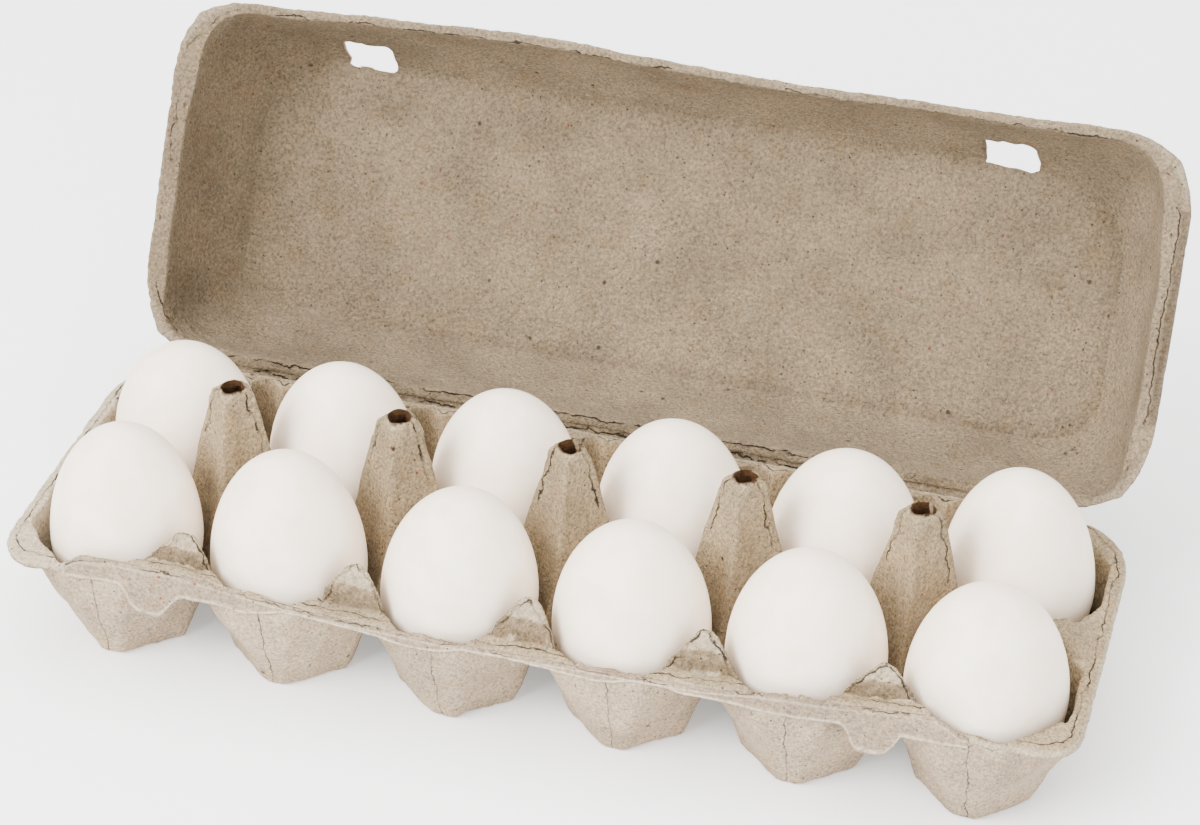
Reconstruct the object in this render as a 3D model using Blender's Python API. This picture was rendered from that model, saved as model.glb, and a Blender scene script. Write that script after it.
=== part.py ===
"""Moulded pulp egg carton for twelve eggs, standing open with its eggs in it.

Metres, +Z up, X along the length, the lid's hinge at the back (+Y).
The tray and the lid are sheets of pulp: each is a grid raised to a shape that
the functions below work out, given its thickness by a second skin.
"""
import math

import bmesh
import bpy
import numpy as np
from mathutils import Matrix, Vector

MM = 0.001

# Cells
PITCH = 48.5 * MM
COLUMNS = 6
ROW_Y = 24.25 * MM
PULP = 1.6 * MM
SAMPLE_RINGS = (0.5, 0.85, 1.0)
SAMPLE_TURNS = 16

# Height of the tray's upper skin above the rim plane, and how far the wall of
# a cell stands from the cell's middle there: towards a neighbour, towards a
# corner, and towards the outside of the tray. Between those directions the
# wall is flat, and bulges outwards by the given share.
WALL_Z = np.array([-33.2, -20.0, -10.0, 0.0, 12.0, 34.7]) * MM
WALL_INNER = np.array([15.2, 19.8, 24.25, 31.0, 37.7, 42.8]) * MM
WALL_CORNER = np.array([11.5, 17.4, 22.8, 25.2, 26.7, 30.3]) * MM
WALL_OUTER = np.array([13.7, 18.5, 22.5, 24.2, 25.0, 27.0]) * MM
WALL_BULGE = np.array([0.0, 0.03, 0.07, 0.04, 0.0, 0.0])
FLOOR_DROP = 34.8 * MM

# Tray rim, the saddles between the cells along it, and the posts
RIM_Z = 1.8 * MM
RIM_X = 149.4 * MM
RIM_FRONT = 48.9 * MM
RIM_BACK = 52.9 * MM
CORNER_FRONT = 10.6 * MM
CORNER_BACK_X = 19.0 * MM
CORNER_BACK_Y = 23.0 * MM
SADDLE_Z = 10.9 * MM
SADDLE_FOOT_Y = 48.4 * MM
SADDLE_SLOPE = 1.08
END_SADDLE_FOOT_X = 143.0 * MM
END_SADDLE_RISE = 3.0 * MM
END_SADDLE_SLOPE = 0.4
POST_TOP_Z = 34.7 * MM
POST_HOLE_R = 2.0 * MM
POST_HOLE_SIDES = 8
CELL_LINES = np.array([-24.25, -21.5, -18.2, -13.6, -8.1, 0.0, 8.1, 13.6, 18.2, 21.5]) * MM
END_LINES = np.array([145.5, 147.4, 149.4]) * MM
BACK_LINES = np.array([48.5, 50.8, 52.9]) * MM

# Lid: the hinge line, and sizes in the closed lid measured from it
HINGE_Y = 53.5 * MM
HINGE_Z = 2.5 * MM
LID_OPEN = math.radians(119.7)
LID_X = 149.5 * MM
LID_BACK = 1.0 * MM
LID_FRONT = 106.4 * MM
LID_CORNER_BACK = 27.0 * MM
LID_CORNER_FRONT = 23.5 * MM
LID_DEPTH = 34.3 * MM
MOUTH_X = 143.2 * MM
MOUTH_BACK = 4.0 * MM
MOUTH_FRONT = 104.1 * MM
PANEL_X = 131.0 * MM
PANEL_BACK = 16.5 * MM
PANEL_FRONT = 94.0 * MM
PANEL_CORNER = 14.0 * MM
MOUTH_CORNER_EXTRA = 5.0 * MM
LID_WALL_STEP = np.array([0.0, 0.13, 0.38, 0.62, 0.82, 1.0])
LID_WALL_RISE = np.array([0.0, 0.35, 0.70, 0.90, 0.98, 1.0])
LID_BOW = 2.6 * MM
LID_BOW_X = -45.0 * MM
LID_BOW_HALF = 80.0 * MM
LID_SLANT = 0.007
PANEL_COLUMNS = 15
PANEL_ROWS = 5
CORNER_COLUMNS = (1.0 / 3.0, 2.0 / 3.0)
CORNER_ROW = 0.5
SLOT_X = 96.5 * MM
SLOT_WIDE = 15.5 * MM
SLOT_LOW = 26.0 * MM
SLOT_HIGH = 42.0 * MM
SLOT_BACK = 92.3 * MM
SLOT_FRONT = 99.3 * MM

# Locking flap, folded down outside the front rim. Its lower edge is given from
# left to right in millimetres: place along the carton, drop below the fold.
FOLD_Y = 49.7 * MM
FOLD_Z = 1.6 * MM
FLAP_THICK = 1.0 * MM
FLAP_GAP = 0.5 * MM
FLAP_EDGE = (
    (-122.0, 2.4), (-119.0, 6.4), (-112.9, 6.4), (-108.7, 13.2), (-101.5, 13.4),
    (-98.0, 6.4), (-81.7, 5.4), (-73.4, 6.4), (-65.4, 3.6), (-45.6, 5.6),
    (-30.4, 8.0), (-18.6, 4.8), (0.0, 5.2), (13.7, 7.2), (22.9, 7.4),
    (33.2, 4.2), (48.0, 4.6), (62.7, 5.2), (72.0, 6.6), (88.5, 6.2),
    (92.7, 13.0), (99.3, 13.2), (103.4, 6.0), (112.5, 6.0), (116.0, 3.0),
)

# Eggs, standing on their blunt ends: half width, length above the widest part,
# place off the cell's middle to the right and to the back, and the lean of the
# top to the right and to the back in degrees.
EGG_SEGMENTS = 16
EGG_RINGS = 9
EGG_WIDEST_Z = -2.2 * MM
EGG_LOWER = 25.2
EGGS_FRONT = (
    (21.1, 33.6, 0.8, -0.7, -0.9, 1.4), (21.5, 33.8, -0.1, -0.4, -2.2, 0.8),
    (21.5, 32.0, 0.5, -0.5, 1.9, 1.0), (21.5, 31.4, 0.5, -0.5, -1.9, -0.1),
    (21.7, 32.0, -0.1, 0.2, -0.7, 0.2), (21.8, 31.8, -0.1, -0.1, -1.1, 0.3),
)
EGGS_BACK = (
    (21.0, 29.8, 0.2, -0.6, -2.3, -2.0), (21.4, 31.6, -0.8, -0.8, -3.0, 0.0),
    (21.5, 31.7, -1.0, -0.4, -2.9, 0.6), (21.6, 31.1, -1.0, -0.1, -2.4, 0.3),
    (21.7, 31.4, -0.8, 0.0, 0.4, -0.9), (21.2, 34.4, -0.6, 0.5, -3.4, 2.0),
)

# The whole stands with its feet on the ground and its box centred
ORIGIN_Y = -40.79 * MM
COLOURS = {
    "pulp": (0.56, 0.49, 0.41, 1.0),
    "eggshell": (0.90, 0.87, 0.83, 1.0),
}


def clear_scene():
    for item in list(bpy.data.objects):
        bpy.data.objects.remove(item, do_unlink=True)


def material(name, colour, roughness):
    made = bpy.data.materials.new(name)
    made.use_nodes = True
    shader = made.node_tree.nodes["Principled BSDF"]
    shader.inputs["Base Color"].default_value = colour
    shader.inputs["Roughness"].default_value = roughness
    return made


def add_object(name, bm, collection, colour, roughness):
    mesh = bpy.data.meshes.new(name)
    bm.to_mesh(mesh)
    bm.free()
    mesh.materials.append(material(name, colour, roughness))
    made = bpy.data.objects.new(name, mesh)
    collection.objects.link(made)
    return made


def cell_reach(side, angle):
    """Reach of the eight-sided cell wall at each height, in one direction."""
    eighth = math.pi / 4
    top = side * WALL_CORNER * math.sin(eighth)
    flat = top / (side * math.sin(angle) + WALL_CORNER * math.sin(eighth - angle))
    return flat * (1.0 + WALL_BULGE * math.sin(4 * angle) ** 2)


def cup_height(x, y):
    """Height of the cell wall over a point, as if nothing capped it."""
    column = min(max(math.floor(x / PITCH + COLUMNS / 2), 0), COLUMNS - 1)
    u = x - (column - COLUMNS / 2 + 0.5) * PITCH
    v = y - math.copysign(ROW_Y, y)
    if abs(u) > abs(v):
        outside = (column == 0 and u < 0) or (column == COLUMNS - 1 and u > 0)
    else:
        outside = v * y > 0
    side = WALL_OUTER if outside else WALL_INNER
    angle = math.atan2(min(abs(u), abs(v)), max(abs(u), abs(v), 1e-9))
    reach = cell_reach(side, angle)
    return float(np.interp(math.hypot(u, v), reach, WALL_Z))


def cap_height(x, y):
    """Height of the posts, saddles and rim that the cells are sunk into."""
    at_side = abs(y) > ROW_Y
    at_end = abs(x) > PITCH * (COLUMNS - 1) / 2
    if at_side and at_end:
        return RIM_Z
    if at_side:
        return min(SADDLE_Z, RIM_Z + max(SADDLE_FOOT_Y - abs(y), 0.0) * SADDLE_SLOPE)
    if at_end:
        slope = RIM_Z + max(END_SADDLE_FOOT_X - abs(x), 0.0) * END_SADDLE_SLOPE
        return min(slope, RIM_Z + END_SADDLE_RISE)
    return POST_TOP_Z


def tray_height(x, y):
    return min(cup_height(x, y), cap_height(x, y))


def disc_samples(radius):
    """Points of a disc with the height of a ball over each of them."""
    spots = [(0.0, 0.0, radius)]
    for share in SAMPLE_RINGS:
        rise = radius * math.sqrt(1.0 - share * share)
        for turn in range(SAMPLE_TURNS):
            angle = 2 * math.pi * turn / SAMPLE_TURNS
            spots.append((radius * share * math.cos(angle), radius * share * math.sin(angle), rise))
    return spots


def inward_skin(height, x, y):
    """The sheet's other side, one pulp thickness below the given height."""
    return min(height(x + a, y + b) - rise for a, b, rise in disc_samples(PULP))


def outward_skin(height, x, y):
    return max(height(x + a, y + b) + rise for a, b, rise in disc_samples(PULP))


def round_corner(x, y, far_x, far_y, reach_x, reach_y):
    """Bend a square corner of the grid onto a quarter ellipse."""
    a = (abs(x) - (far_x - reach_x)) / reach_x
    b = (abs(y) - (far_y - reach_y)) / reach_y
    if a <= 0 or b <= 0:
        return x, y
    a, b = a * math.sqrt(1 - b * b / 2), b * math.sqrt(1 - a * a / 2)
    new_x = math.copysign(far_x - reach_x + a * reach_x, x)
    new_y = math.copysign(far_y - reach_y + b * reach_y, y)
    return new_x, new_y


def split_along_folds(bm, height):
    """Cut each square along the diagonal that lies nearer the true height."""
    for face in list(bm.faces):
        corners = list(face.verts)
        middle = face.calc_center_median()
        true_z = height(middle.x, middle.y)
        first = (corners[0].co.z + corners[2].co.z) / 2
        second = (corners[1].co.z + corners[3].co.z) / 2
        start = 0 if abs(first - true_z) <= abs(second - true_z) else 1
        bmesh.utils.face_split(face, corners[start], corners[start + 2])


def sheet(lines_x, lines_y, bend, height, other_skin):
    """A grid raised to a height, thickened by a second skin under or over it."""
    bm = bmesh.new()
    bmesh.ops.create_grid(bm, x_segments=len(lines_x) - 1, y_segments=len(lines_y) - 1, size=1.0)
    steps_x = np.linspace(-1.0, 1.0, len(lines_x))
    steps_y = np.linspace(-1.0, 1.0, len(lines_y))
    for vert in bm.verts:
        x = float(np.interp(vert.co.x, steps_x, lines_x))
        y = float(np.interp(vert.co.y, steps_y, lines_y))
        x, y = bend(x, y)
        vert.co = Vector((x, y, height(x, y)))
    split_along_folds(bm, height)
    grown = bmesh.ops.extrude_face_region(bm, geom=list(bm.faces), use_keep_orig=True)
    for vert in grown["geom"]:
        if isinstance(vert, bmesh.types.BMVert):
            vert.co.z = other_skin(height, vert.co.x, vert.co.y)
    bmesh.ops.recalc_face_normals(bm, faces=list(bm.faces))
    return bm


def cut(target, cutters, collection):
    for index, bm in enumerate(cutters):
        mesh = bpy.data.meshes.new("cutter")
        bm.to_mesh(mesh)
        bm.free()
        tool = bpy.data.objects.new(f"cutter_{target.name}_{index}", mesh)
        collection.objects.link(tool)
        tool.hide_render = True
        tool.display_type = "WIRE"
        tool.parent = target
        step = target.modifiers.new(f"cut_{index}", "BOOLEAN")
        step.operation = "DIFFERENCE"
        step.solver = "EXACT"
        step.object = tool


def tray_bend(x, y):
    if y < 0:
        return round_corner(x, y, RIM_X, RIM_FRONT, CORNER_FRONT, CORNER_FRONT)
    return round_corner(x, y, RIM_X, RIM_BACK, CORNER_BACK_X, CORNER_BACK_Y)


def make_tray(collection, cutter_collection):
    half = COLUMNS / 2
    lines_x = np.concatenate([(k - half + 0.5) * PITCH + CELL_LINES for k in range(COLUMNS)])
    lines_x = np.concatenate([-END_LINES[:0:-1], lines_x, END_LINES])
    rows = np.concatenate([CELL_LINES - ROW_Y, CELL_LINES + ROW_Y])
    lines_y = np.concatenate([[-RIM_FRONT], rows, BACK_LINES])
    bm = sheet(lines_x, lines_y, tray_bend, tray_height, inward_skin)
    tray = add_object("tray", bm, collection, COLOURS["pulp"], 0.95)
    holes = []
    for k in range(1, COLUMNS):
        hole = bmesh.new()
        place = Matrix.Translation(((k - half) * PITCH, 0.0, POST_TOP_Z))
        bmesh.ops.create_cone(
            hole, cap_ends=True, segments=POST_HOLE_SIDES, radius1=POST_HOLE_R,
            radius2=POST_HOLE_R, depth=6 * PULP, matrix=place,
        )
        holes.append(hole)
    cut(tray, holes, cutter_collection)
    tray.location = (0.0, ORIGIN_Y, FLOOR_DROP)
    return tray


def belly(x):
    """How far the front rim of the lid bellies out, and slants to the right."""
    off = min(abs(x - LID_BOW_X) / LID_BOW_HALF, 1.0)
    return LID_BOW * math.cos(off * math.pi / 2) ** 2 + LID_SLANT * max(x, 0.0)


def bow(x, y):
    """Move a point of the front wall out with the belly."""
    past = min(max(-y - PANEL_FRONT, 0.0) / (LID_FRONT - PANEL_FRONT), 1.0)
    return y - belly(x) * past


def unbow(x, y):
    """The place a point has before the belly shifts it."""
    depth = LID_FRONT - PANEL_FRONT
    past = max(-y - PANEL_FRONT, 0.0)
    return y + past - past * depth / (depth + belly(x))


def lid_height(x, y):
    """Inner skin of the closed lid over its rim plane; y runs to the front as minus."""
    far = -unbow(x, y)
    side_x = abs(x) - (PANEL_X - PANEL_CORNER)
    front = far - (PANEL_FRONT - PANEL_CORNER)
    back = (PANEL_BACK + PANEL_CORNER) - far
    side_y = max(front, back)
    run_y = (MOUTH_FRONT - PANEL_FRONT) if front > back else (PANEL_BACK - MOUTH_BACK)
    side_x = max(side_x, 0.0)
    side_y = max(side_y, 0.0)
    reach = math.hypot(side_x, side_y)
    if reach <= PANEL_CORNER:
        return LID_DEPTH
    share = (side_x / reach) ** 2
    diagonal = (4.0 * share * (1.0 - share)) ** 2
    run = (MOUTH_X - PANEL_X) * share + run_y * (1.0 - share) + MOUTH_CORNER_EXTRA * diagonal
    step = (PANEL_CORNER + run - reach) / run
    return LID_DEPTH * float(np.interp(step, LID_WALL_STEP, LID_WALL_RISE))


def lid_bend(x, y):
    """Round the corners, and let the front rim belly out a little left of its middle."""
    middle = (LID_BACK + LID_FRONT) / 2
    half = (LID_FRONT - LID_BACK) / 2
    corner = LID_CORNER_FRONT if -y > middle else LID_CORNER_BACK
    x, shifted = round_corner(x, y + middle, LID_X, half, corner, corner)
    return x, bow(x, shifted - middle)


def wall_lines(rim, mouth, panel):
    steps = mouth + (panel - mouth) * LID_WALL_STEP
    return [rim] + [float(s) for s in steps]


def make_lid(collection, cutter_collection):
    side = wall_lines(LID_X, MOUTH_X, PANEL_X)
    flat_x = PANEL_X - PANEL_CORNER
    across = np.linspace(-flat_x, flat_x, PANEL_COLUMNS)
    corner_x = [flat_x + PANEL_CORNER * share for share in CORNER_COLUMNS]
    lines_x = np.array(sorted([-s for s in side + corner_x] + list(across) + side + corner_x))
    front = wall_lines(LID_FRONT, MOUTH_FRONT, PANEL_FRONT)
    back = wall_lines(LID_BACK, MOUTH_BACK, PANEL_BACK)
    flat_back = PANEL_BACK + PANEL_CORNER
    flat_front = PANEL_FRONT - PANEL_CORNER
    between = list(np.linspace(flat_back, flat_front, PANEL_ROWS))
    corner_y = [flat_back - PANEL_CORNER * CORNER_ROW, flat_front + PANEL_CORNER * CORNER_ROW]
    lines_y = np.array(sorted([-s for s in front + back + between + corner_y]))
    bm = sheet(lines_x, lines_y, lid_bend, lid_height, outward_skin)
    lid = add_object("lid", bm, collection, COLOURS["pulp"], 0.95)
    slots = []
    for side_sign in (-1, 1):
        slot = bmesh.new()
        size = Matrix.Diagonal((SLOT_WIDE, SLOT_FRONT - SLOT_BACK, SLOT_HIGH - SLOT_LOW, 1.0))
        middle = (side_sign * SLOT_X, -(SLOT_BACK + SLOT_FRONT) / 2, (SLOT_LOW + SLOT_HIGH) / 2)
        bmesh.ops.create_cube(slot, size=1.0, matrix=Matrix.Translation(middle) @ size)
        slots.append(slot)
    cut(lid, slots, cutter_collection)
    lid.location = (0.0, HINGE_Y + ORIGIN_Y, HINGE_Z + FLOOR_DROP)
    lid.rotation_euler = (-LID_OPEN, 0.0, 0.0)
    return lid


def make_flap(collection):
    """Plate hanging from the fold line, with two tabs and a wavy lower edge."""
    bm = bmesh.new()
    bmesh.ops.create_grid(bm, x_segments=len(FLAP_EDGE) - 1, y_segments=1, size=1.0)
    steps = np.linspace(-1.0, 1.0, len(FLAP_EDGE))
    edge_x = [spot[0] * MM for spot in FLAP_EDGE]
    edge_z = [spot[1] * MM for spot in FLAP_EDGE]
    for vert in bm.verts:
        x = float(np.interp(vert.co.x, steps, edge_x))
        low = float(np.interp(vert.co.x, steps, edge_z))
        vert.co = Vector((x, FLAP_THICK / 2, -FLAP_GAP if vert.co.y > 0 else -low))
    grown = bmesh.ops.extrude_face_region(bm, geom=list(bm.faces), use_keep_orig=True)
    for vert in grown["geom"]:
        if isinstance(vert, bmesh.types.BMVert):
            vert.co.y -= FLAP_THICK
    bmesh.ops.recalc_face_normals(bm, faces=list(bm.faces))
    flap = add_object("flap", bm, collection, COLOURS["pulp"], 0.95)
    flap.location = (0.0, ORIGIN_Y - FOLD_Y, FOLD_Z + FLOOR_DROP)
    return flap


def make_egg(name, collection, column, row_y, sizes):
    half_width, upper, shift_x, shift_y, lean_right, lean_back = sizes
    bm = bmesh.new()
    bmesh.ops.create_uvsphere(bm, u_segments=EGG_SEGMENTS, v_segments=EGG_RINGS, radius=1.0)
    for vert in bm.verts:
        length = upper if vert.co.z > 0 else EGG_LOWER
        vert.co = Vector((vert.co.x * half_width, vert.co.y * half_width, vert.co.z * length)) * MM
    egg = add_object(name, bm, collection, COLOURS["eggshell"], 0.55)
    x = (column - COLUMNS / 2 + 0.5) * PITCH + shift_x * MM
    egg.location = (x, row_y + shift_y * MM + ORIGIN_Y, EGG_WIDEST_Z + FLOOR_DROP)
    egg.rotation_euler = (-math.radians(lean_back), math.radians(lean_right), 0.0)
    return egg


def main():
    clear_scene()
    carton = bpy.data.collections.new("egg_carton")
    cutters = bpy.data.collections.new("cutters")
    bpy.context.scene.collection.children.link(carton)
    bpy.context.scene.collection.children.link(cutters)
    make_tray(carton, cutters)
    make_lid(carton, cutters)
    make_flap(carton)
    for column in range(COLUMNS):
        make_egg(f"egg_front_{column + 1}", carton, column, -ROW_Y, EGGS_FRONT[column])
        make_egg(f"egg_back_{column + 1}", carton, column, ROW_Y, EGGS_BACK[column])


main()
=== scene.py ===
"""Looks of a moulded pulp egg carton with twelve white eggs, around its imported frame."""

import math

import bmesh
import bpy
import numpy as np
from mathutils import Matrix, Vector, noise


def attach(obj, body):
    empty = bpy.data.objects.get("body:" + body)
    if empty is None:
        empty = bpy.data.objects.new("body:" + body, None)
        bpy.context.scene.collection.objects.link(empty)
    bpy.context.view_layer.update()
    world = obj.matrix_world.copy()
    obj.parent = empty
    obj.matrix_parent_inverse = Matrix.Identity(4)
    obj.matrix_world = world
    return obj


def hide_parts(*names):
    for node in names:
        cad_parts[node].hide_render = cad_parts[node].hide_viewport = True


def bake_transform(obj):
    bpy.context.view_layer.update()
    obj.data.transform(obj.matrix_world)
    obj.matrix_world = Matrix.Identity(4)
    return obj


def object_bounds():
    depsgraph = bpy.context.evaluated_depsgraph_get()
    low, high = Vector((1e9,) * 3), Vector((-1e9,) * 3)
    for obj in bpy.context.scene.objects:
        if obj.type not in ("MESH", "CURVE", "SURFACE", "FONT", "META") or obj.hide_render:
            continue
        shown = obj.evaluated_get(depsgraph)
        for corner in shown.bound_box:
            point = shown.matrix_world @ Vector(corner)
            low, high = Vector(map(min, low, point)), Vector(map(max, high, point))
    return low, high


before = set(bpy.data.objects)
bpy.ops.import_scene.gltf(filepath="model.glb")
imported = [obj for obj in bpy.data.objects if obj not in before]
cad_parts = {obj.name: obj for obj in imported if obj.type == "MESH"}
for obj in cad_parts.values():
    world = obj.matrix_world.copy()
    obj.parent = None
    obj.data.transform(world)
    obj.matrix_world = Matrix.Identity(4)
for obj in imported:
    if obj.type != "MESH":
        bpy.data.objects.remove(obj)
cad_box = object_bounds()

# The tray: one sheet of grey-brown pulp, sucked on to a mould and dried, with
# twelve cups, five hollow posts between them and low saddles along the rim.
# Its upper side is the rough one, its underside shows the mould's fine wire.
MM = 0.001
TRAY_X_CELLS = 6
CELL = 48.5 * MM
ROW_OFF = 24.25 * MM
PULP_THICK = 1.6 * MM
FOOT_DROP = 34.8 * MM
TRAY_MIDDLE_Y = -40.79 * MM
# Reach of a cup's walls from its middle at these heights, by what lies that way.
CUP_Z = np.array([-33.2, -20.0, -10.0, 0.0, 12.0, 34.7]) * MM
CUP_TO_NEIGHBOUR = np.array([15.2, 19.8, 24.25, 31.0, 37.7, 42.8]) * MM
CUP_TO_OTHER_ROW = np.array([15.2, 19.8, 24.25, 29.6, 35.6, 42.8]) * MM
CUP_TO_CORNER = np.array([11.5, 17.4, 22.8, 25.2, 26.7, 30.3]) * MM
CUP_TO_RIM_CORNER = np.array([11.5, 17.4, 22.2, 24.1, 25.4, 29.4]) * MM
CUP_TO_OUTSIDE = np.array([13.7, 18.5, 22.2, 23.5, 24.3, 27.0]) * MM
CUP_BULGE = np.array([0.0, 0.03, 0.07, 0.04, 0.0, 0.0])
CUP_FLAT_TO_NEIGHBOUR = np.array([2.8, 2.4, 1.2, 0.0, 0.0, 0.0]) * MM
CUP_FLAT_TO_OUTSIDE = np.array([2.8, 4.5, 7.0, 9.5, 10.0, 10.0]) * MM
CUP_EDGE_SOFT = 0.5 * MM
CUP_LINES = np.array([-24.25, -20.5, -16.0, -9.0, 0.0, 9.0, 16.0, 20.5, 24.25]) * MM
CUP_LINES_END = 48.6 * MM
TRAY_RIM_Z = 1.8 * MM
TRAY_RIM_X = 149.4 * MM
TRAY_RIM_FRONT = 48.9 * MM
TRAY_RIM_BACK = 52.9 * MM
TRAY_CORNER_FRONT = 10.6 * MM
TRAY_CORNER_BACK_X = 19.0 * MM
TRAY_CORNER_BACK_Y = 23.0 * MM
RIM_RISE_FROM = 38.0 * MM
RIM_RISE_RUN = 9.0 * MM
# A saddle's height over the rim, from its foot at the rim's inner line to its back.
SADDLE_FOOT = 43.6 * MM
SADDLE_IN = np.array([-0.2, 0.0, 0.9, 4.4, 5.4, 20.0]) * MM
SADDLE_RISE = np.array([0.0, 0.3, 3.2, 9.4, 9.6, -2.0]) * MM
# Each front saddle's middle, off the line between its cups, and its steep left side.
SADDLE_OFF = np.array([0.0, 0.2, 1.5, 0.6, 0.0]) * MM
SADDLE_LEFT = 10.2 * MM
SADDLE_LEFT_STEEP = 4.0
SADDLE_LEFT_SIZE = 2.0 * MM
SADDLE_WANDER = 0.6 * MM
SADDLE_FOOT_SIZE = 4.0 * MM
SADDLE_SOFT = 0.8 * MM
SADDLE_BACK_FOOT = 48.4 * MM
SADDLE_BACK_TOP = 10.9 * MM
SADDLE_BACK_STEEP = 1.08
SADDLE_BACK_SOFT = 1.2 * MM
END_SADDLE_FOOT = 143.0 * MM
END_SADDLE_TOP = 4.8 * MM
END_SADDLE_STEEP = 0.4
END_SADDLE_SOFT = 0.6 * MM
POST_TOP = 34.7 * MM
POST_LIP = 0.9 * MM
POST_LIP_WIDTH = 0.9 * MM
POST_DOME = 55.0
POST_HOLE = 3.1 * MM
POST_HOLE_RAGGED = 0.35
POST_HOLE_WAVES = 1.3
POST_HOLE_CHANGE = 40.0
POST_TOP_REACH = 4.0 * MM
WANDER = 0.45 * MM
WANDER_SIZE = 3.4 * MM
SADDLE_EDGE = 0.8 * MM
SADDLE_FINE_FROM = 36.0 * MM
SADDLE_FINE_TO = 45.0 * MM
SADDLE_FINE_RISE = 2.6 * MM
CREASE_SOFT = 1.1 * MM
CREASE_BAND = 2.2 * MM
TRAY_STEP = 1.9 * MM
TRAY_LONG_EDGE = 2.7 * MM
TRAY_CREASE_EDGE = 1.0 * MM
# Height of the front edge along the tray, left to right, in millimetres.
FRONT_EDGE = np.array((
    (-149.4, 0.6), (-136.0, 0.9), (-129.0, 2.2), (-124.5, 5.0), (-117.0, 6.2), (-97.0, 6.0),
    (-89.0, 5.1), (-77.0, 3.6), (-66.0, 2.2), (-55.0, 1.3), (-38.0, 0.6), (-20.0, 0.1),
    (0.0, 0.3), (17.0, 0.5), (34.0, 0.7), (50.0, 1.1), (58.0, 2.0), (66.0, 3.2), (82.0, 4.0),
    (97.0, 5.1), (108.0, 6.1), (112.0, 5.8), (115.0, 4.4), (119.0, 1.6), (127.0, 0.9), (149.4, 1.2),
)) * MM
EDGE_ROLL = 1.1 * MM
EDGE_ROLL_WIDTH = 2.0 * MM
TRAY_WAVES = ((7.0 * MM, 0.30 * MM), (2.6 * MM, 0.16 * MM))
TORN_WAVE = (1.9 * MM, 0.75 * MM)
RIM_LONG_EDGE = 1.4 * MM
RIM_BAND = 4.5 * MM
PULP_HEX = "A18E70"
PULP_OUTSIDE_HEX = "9F8D76"
PULP_DARK_HEX = "2E241B"
PULP_RED_HEX = "74301F"
PULP_WORN_AND_HIGHLIGHT_HEX = "D9CBB2"
PULP_PAINTED_SHADE_HEX = "6B5238"
PULP_CRACK_HEX = "1E1610"


def linear(hex_text):
    """Turn an sRGB hex colour into the linear one that shaders take."""
    parts = [int(hex_text[k:k + 2], 16) / 255 for k in (0, 2, 4)]
    return [p / 12.92 if p <= 0.04045 else ((p + 0.055) / 1.055) ** 2.4 for p in parts] + [1.0]


def add_node(tree, kind, links=(), **settings):
    """Add one node: settings by name, and links as (its socket, the node and socket that feed it)."""
    made = tree.nodes.new(kind)
    sockets = {}
    for name, value in settings.items():
        if hasattr(made, name):
            setattr(made, name, value)
        else:
            sockets[name] = value
    for name, value in sockets.items():
        numbered = name[0] == "i" and name[1:].isdigit()
        made.inputs[int(name[1:]) if numbered else name].default_value = value
    for socket, source, out in links:
        tree.links.new(source.outputs[out], made.inputs[socket])
    return made


def soft_min(a, b, reach):
    """The smaller of two heights, rounded off where they cross."""
    share = np.clip(0.5 + (b - a) / (2 * reach), 0.0, 1.0)
    return b + (a - b) * share - reach * share * (1.0 - share)


def smooth_steps(spot, knots, heights):
    """Smooth rising curve through knots that differ from point to point."""
    gaps = np.diff(knots, axis=1)
    slopes = np.diff(heights) / gaps
    tangents = np.empty_like(knots)
    tangents[:, 1:-1] = 2 * slopes[:, 1:] * slopes[:, :-1] / (slopes[:, 1:] + slopes[:, :-1])
    tangents[:, 0] = slopes[:, 0]
    tangents[:, -1] = slopes[:, -1]
    part = np.clip((spot[:, None] >= knots).sum(1) - 1, 0, knots.shape[1] - 2)
    row = np.arange(len(spot))
    gap = gaps[row, part]
    t = np.clip((spot - knots[row, part]) / gap, 0.0, 1.0)
    low, high = heights[part], heights[part + 1]
    start, end = tangents[row, part] * gap, tangents[row, part + 1] * gap
    return (
        (2 * t**3 - 3 * t**2 + 1) * low + (t**3 - 2 * t**2 + t) * start
        + (3 * t**2 - 2 * t**3) * high + (t**3 - t**2) * end
    )


def wander(x, y, size):
    """Slow uneven wave between -1 and 1, for lines that no two cartons share."""
    first = np.sin(x / size + 1.7 * np.sin(0.7 * y / size))
    return (first + np.sin(1.3 * y / size + 1.1 * np.sin(0.9 * x / size) + 2.0)) / 2


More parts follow.
